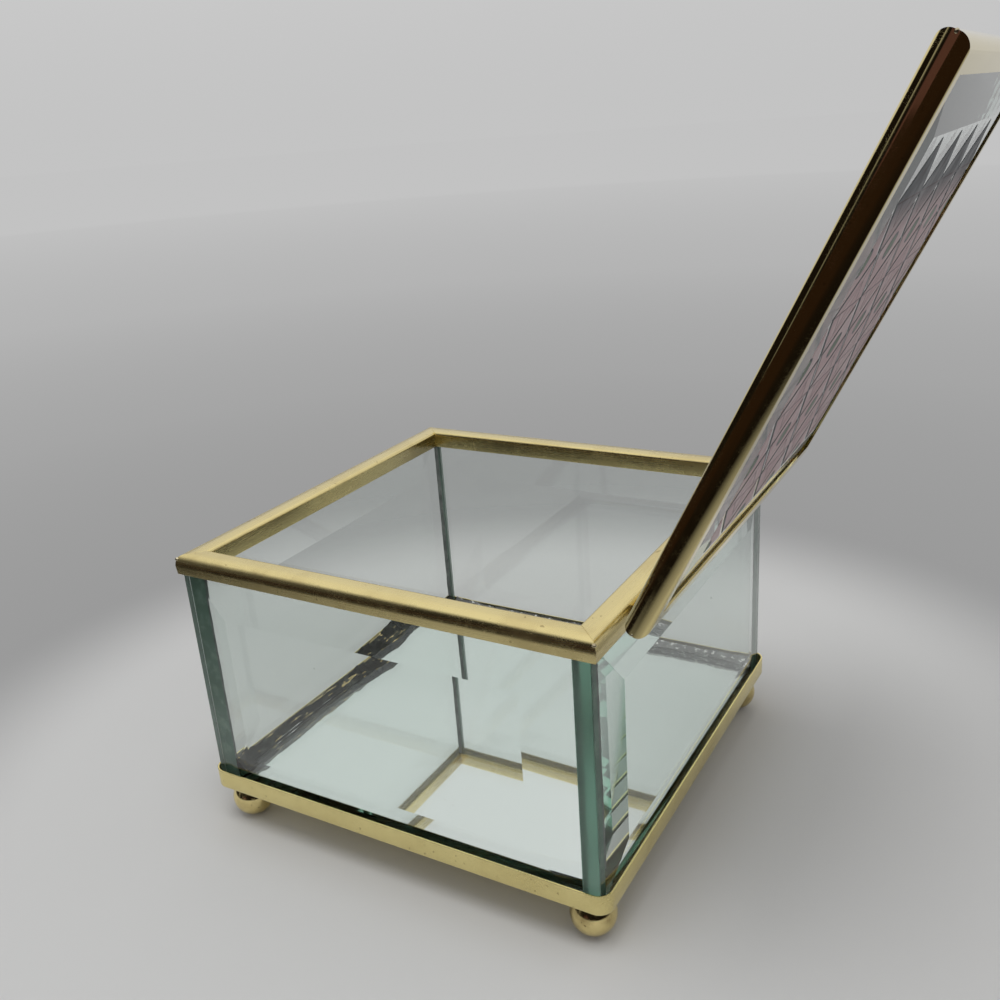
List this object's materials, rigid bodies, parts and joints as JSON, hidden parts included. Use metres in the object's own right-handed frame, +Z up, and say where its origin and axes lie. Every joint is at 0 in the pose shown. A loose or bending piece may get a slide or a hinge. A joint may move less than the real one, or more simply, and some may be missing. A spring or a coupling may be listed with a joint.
{
  "type": "glass keepsake box",
  "caption": "Square bevelled-glass keepsake box with brass channels, a mirrored floor, ball feet and a hinged lid leaning open.",
  "frame": {"origin": "on the surface that the box stands on, below the middle of its bounding box with the lid leaning open; the middle of the square box itself is at Y = -25.2 mm", "axes": "+Z up; the hinge is along X at the rear, on the +Y side, and the box's front faces -Y"},
  "size_m": [0.102, 0.152, 0.1596],
  "materials": {
    "brass": "polished",
    "glass": "clear, faintly green",
    "mirror glass": "clear",
    "silvering": "mirror",
    "board": "matte thin board",
    "solder": "brass plated solder",
    "dark glue": "glossy set adhesive",
    "grey glue": "satin set adhesive",
    "print": "thin printed film"
  },
  "bodies": {
    "box": {"base_tray": "brass", "floor_board": "board", "mirror_silvering": "silvering", "mirror_plate": "mirror glass", "front_pane": "glass", "right_pane": "glass", "rear_pane": "glass", "left_pane": "glass", "rim_channel_front": "brass", "rim_channel_right": "brass", "rim_channel_rear": "brass", "rim_channel_left": "brass", "rim_solder_dots": "solder", "floor_bead_front": "dark glue", "floor_bead_left": "grey glue", "corner_beads": "grey glue", "foot_front_left": "brass", "foot_front_right": "brass", "foot_rear_right": "brass", "foot_rear_left": "brass", "foot_solder": "solder", "hinge_tube": "brass", "hinge_tube_solder": "solder"},
    "lid": {"lid_channel_front": "brass", "lid_channel_right": "brass", "lid_channel_rear": "brass", "lid_channel_left": "brass", "lid_solder_dots": "solder", "lid_pane": "glass", "lid_print": "print", "hinge_wire": "brass", "hinge_wire_solder": "solder"}
  },
  "joints": [
    {"name": "lid_hinge", "type": "hinge", "parent": "box", "child": "lid", "pos_m": [0, 0.0269, 0.06797], "axis": [1, 0, 0], "range_deg": [0, 116]}
  ]
}
